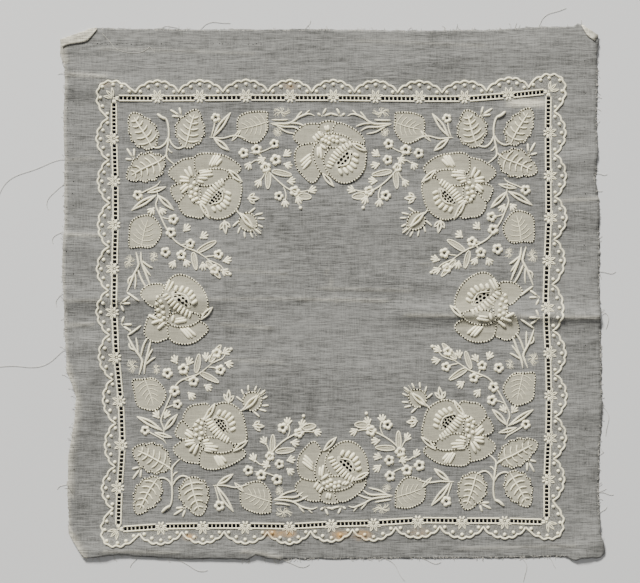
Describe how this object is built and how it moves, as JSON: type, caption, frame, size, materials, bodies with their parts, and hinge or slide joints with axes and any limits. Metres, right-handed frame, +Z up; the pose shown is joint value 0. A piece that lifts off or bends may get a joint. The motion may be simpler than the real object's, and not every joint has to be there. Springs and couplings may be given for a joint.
{
  "type": "handkerchief",
  "caption": "Square sheer cotton handkerchief with raw edges, whitework flowers and a scalloped openwork border, lying flat with a folded corner.",
  "frame": {"origin": "the middle of the cloth, on the flat underside that it rests on", "axes": "+Z up out of the embroidered face, +X to the right and +Y to the top of the cloth as the picture shows it"},
  "size_m": [0.4782, 0.4455, 0.0039],
  "materials": {
    "lawn": "semi-sheer plain-weave cotton lawn, lightly creased",
    "thread": "matte cream cotton thread"
  },
  "bodies": {
    "root": {"cloth": "lawn", "frayed_left": "thread", "frayed_right": "thread", "frayed_top": "thread", "frayed_bottom": "thread"}
  },
  "joints": []
}
